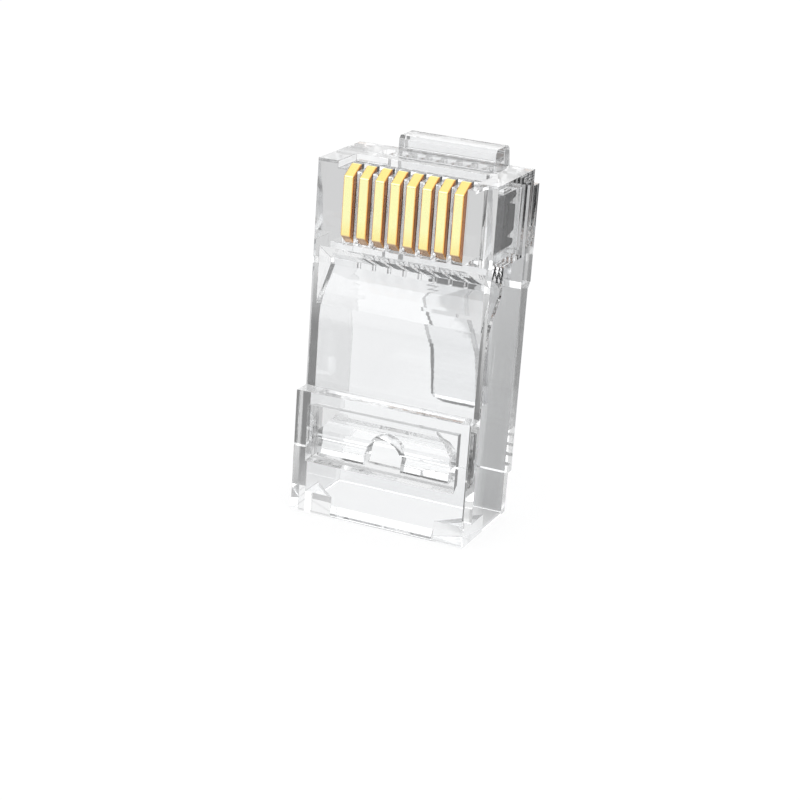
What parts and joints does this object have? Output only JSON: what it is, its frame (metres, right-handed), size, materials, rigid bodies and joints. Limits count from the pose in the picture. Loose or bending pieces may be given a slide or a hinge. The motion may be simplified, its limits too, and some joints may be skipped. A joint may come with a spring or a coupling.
{
  "type": "rj45 modular plug",
  "caption": "Clear modular cable plug with gold blade contacts in slots, a spring latch, a conductor trough and a hinged strain relief bar.",
  "frame": {"origin": "Middle of the cable mouth, on the plane of the cable end that the plug stands on.", "axes": "+Z runs from the cable end to the nose, -Y is the contact side, +Y is the latch side, X is the width."},
  "size_m": [0.0116, 0.0139, 0.0232],
  "materials": {
    "clear_plastic": "clear polished polycarbonate",
    "gold": "gold plated phosphor bronze"
  },
  "bodies": {
    "housing": {"housing": "clear_plastic"},
    "latch": {"latch": "clear_plastic"},
    "strain_relief_bar": {"strain_relief_bar": "clear_plastic"},
    "contact_1": {"contact_1": "gold"},
    "contact_2": {"contact_2": "gold"},
    "contact_3": {"contact_3": "gold"},
    "contact_4": {"contact_4": "gold"},
    "contact_5": {"contact_5": "gold"},
    "contact_6": {"contact_6": "gold"},
    "contact_7": {"contact_7": "gold"},
    "contact_8": {"contact_8": "gold"}
  },
  "joints": [
    {"name": "latch_press", "type": "hinge", "parent": "housing", "child": "latch", "pos_m": [0, 0.00455, 0.02272], "axis": [-1, 0, 0], "range_deg": [0, 12], "stiffness_Nm_per_rad": 0.02},
    {"name": "strain_relief_press", "type": "hinge", "parent": "housing", "child": "strain_relief_bar", "pos_m": [0, -0.0035, 0.00674], "axis": [1, 0, 0], "range_deg": [0, 30]},
    {"name": "contact_1_press", "type": "slide", "parent": "housing", "child": "contact_1", "axis": [0, 1, 0], "range_m": [0, 0.0011]},
    {"name": "contact_2_press", "type": "slide", "parent": "housing", "child": "contact_2", "axis": [0, 1, 0], "range_m": [0, 0.0011]},
    {"name": "contact_3_press", "type": "slide", "parent": "housing", "child": "contact_3", "axis": [0, 1, 0], "range_m": [0, 0.0011]},
    {"name": "contact_4_press", "type": "slide", "parent": "housing", "child": "contact_4", "axis": [0, 1, 0], "range_m": [0, 0.0011]},
    {"name": "contact_5_press", "type": "slide", "parent": "housing", "child": "contact_5", "axis": [0, 1, 0], "range_m": [0, 0.0011]},
    {"name": "contact_6_press", "type": "slide", "parent": "housing", "child": "contact_6", "axis": [0, 1, 0], "range_m": [0, 0.0011]},
    {"name": "contact_7_press", "type": "slide", "parent": "housing", "child": "contact_7", "axis": [0, 1, 0], "range_m": [0, 0.0011]},
    {"name": "contact_8_press", "type": "slide", "parent": "housing", "child": "contact_8", "axis": [0, 1, 0], "range_m": [0, 0.0011]}
  ]
}
